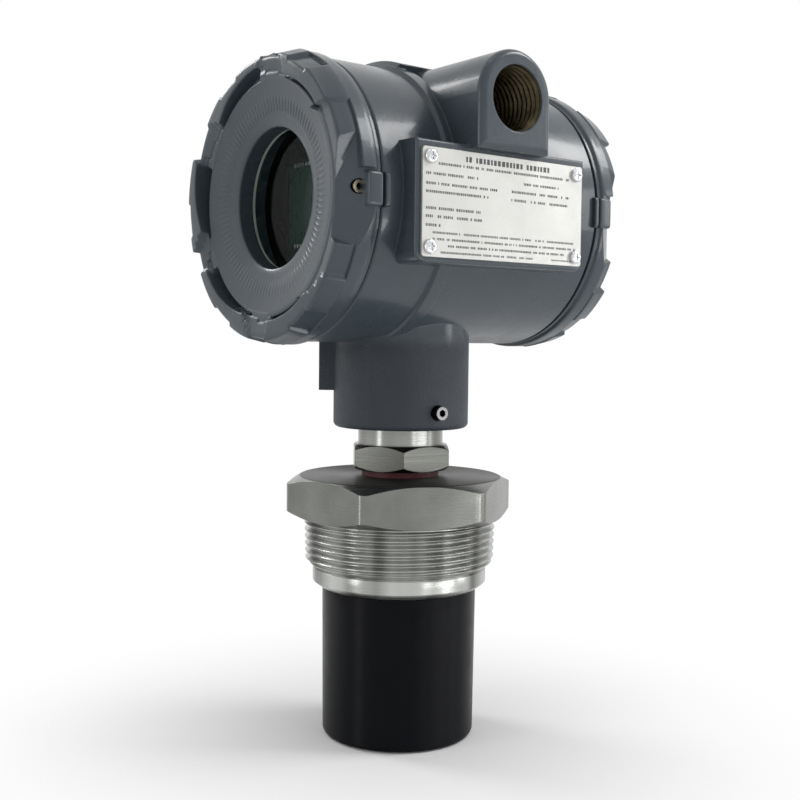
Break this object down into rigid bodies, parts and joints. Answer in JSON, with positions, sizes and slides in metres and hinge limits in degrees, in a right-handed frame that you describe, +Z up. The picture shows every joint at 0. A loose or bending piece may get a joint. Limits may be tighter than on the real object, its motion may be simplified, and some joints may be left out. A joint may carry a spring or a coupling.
{
  "type": "ultrasonic level sensor",
  "caption": "Ultrasonic level sensor with a round two-compartment metal head, glazed screw cover, conduit entries, a taper-threaded hexagon mounting plug and a black plastic transducer below.",
  "frame": {"origin": "centre of the sensing face, at the foot of the transducer", "axes": "+Z up along the stem, the round head lies along Y with its glazed cover facing -Y, the name plate and the open conduit entry face +X"},
  "size_m": [0.103, 0.111, 0.2081],
  "materials": {
    "head_enamel": "glossy dark slate enamel over cast aluminium",
    "bright_steel": "turned stainless steel",
    "screw_steel": "bright plated screws",
    "lock_screw_metal": "socket set screw with a yellowish coat",
    "plate_metal": "satin name plate",
    "black_plastic": "glossy black moulded plastic",
    "red_rubber": "dark red seal",
    "black_rubber": "black rubber",
    "gasket_pale": "pale grey flat gasket",
    "window_glass": "clear toughened glass",
    "display_dark": "dark green-black display pane",
    "board_green": "green circuit board",
    "frame_black": "black moulded frame",
    "terminal_plastic": "dark moulded terminal block",
    "zinc": "zinc plated screws",
    "piezo_ceramic": "fired ceramic with silvered faces",
    "layer_resin": "filled resin",
    "absorber": "soft sound absorber",
    "feedthrough_metal": "plated bushing and pins in sealing glass"
  },
  "bodies": {
    "mount": {"mounting_plug": "bright_steel", "transducer_cup": "black_plastic", "transducer_ring": "black_rubber", "transducer_clamp_ring": "zinc", "matching_layer": "layer_resin", "piezo_disc": "piezo_ceramic", "backing_block": "absorber", "temperature_probe": "bright_steel", "stem_seal": "red_rubber", "stem_adapter": "bright_steel", "neck_ring": "black_rubber"},
    "head": {"housing_body": "head_enamel", "nameplate": "plate_metal", "nameplate_screws": "screw_steel", "conduit_plug": "zinc", "partition_feedthrough": "feedthrough_metal", "main_board": "board_green", "display_board": "board_green", "board_spacers": "zinc", "display_bezel": "frame_black", "display_pane": "display_dark", "display_screws": "zinc", "terminal_block": "terminal_plastic", "terminal_screws": "zinc", "terminal_block_screws": "zinc", "ground_washer": "zinc", "ground_screw": "zinc"},
    "neck_screw": {"neck_lock_screw": "screw_steel"},
    "front_ring": {"front_cover_ring": "black_rubber"},
    "front_cap": {"front_cover": "head_enamel", "window_gasket": "gasket_pale", "window_glass": "window_glass", "window_retaining_ring": "bright_steel"},
    "front_screw": {"front_lock_screw": "lock_screw_metal"},
    "rear_ring": {"rear_cover_ring": "black_rubber"},
    "rear_cap": {"rear_cover": "head_enamel"},
    "rear_screw": {"rear_lock_screw": "lock_screw_metal"}
  },
  "joints": [
    {"name": "head_swivel", "type": "hinge", "parent": "mount", "child": "head", "pos_m": [0, 0, 0.105], "axis": [0, 0, 1], "range_deg": [-180, 180]},
    {"name": "neck_screw_turn", "type": "hinge", "parent": "head", "child": "neck_screw", "pos_m": [0.0199, -0.00209, 0.1023], "axis": [0.9945, -0.1045, 0], "range_deg": [0, 360]},
    {"name": "front_cover_travel", "type": "slide", "parent": "head", "child": "front_ring", "axis": [0, -1, 0], "range_m": [0, 0.0075]},
    {"name": "front_cover_turn", "type": "hinge", "parent": "front_ring", "child": "front_cap", "pos_m": [0, -0.045, 0.1645], "axis": [0, -1, 0], "range_deg": [0, 1800]},
    {"name": "front_screw_turn", "type": "hinge", "parent": "front_cap", "child": "front_screw", "pos_m": [0.036, -0.0446, 0.1645], "axis": [1, 0, 0], "range_deg": [0, 360]},
    {"name": "rear_cover_travel", "type": "slide", "parent": "head", "child": "rear_ring", "axis": [0, 1, 0], "range_m": [0, 0.0075]},
    {"name": "rear_cover_turn", "type": "hinge", "parent": "rear_ring", "child": "rear_cap", "pos_m": [0, 0.05, 0.1645], "axis": [0, 1, 0], "range_deg": [0, 1800]},
    {"name": "rear_screw_turn", "type": "hinge", "parent": "rear_cap", "child": "rear_screw", "pos_m": [0.036, 0.0496, 0.1645], "axis": [1, 0, 0], "range_deg": [0, 360]}
  ],
  "couplings": [
    {"joint": "front_cover_travel", "follows": "front_cover_turn", "m_per_rad": 0.00023873},
    {"joint": "rear_cover_travel", "follows": "rear_cover_turn", "m_per_rad": 0.00023873}
  ]
}
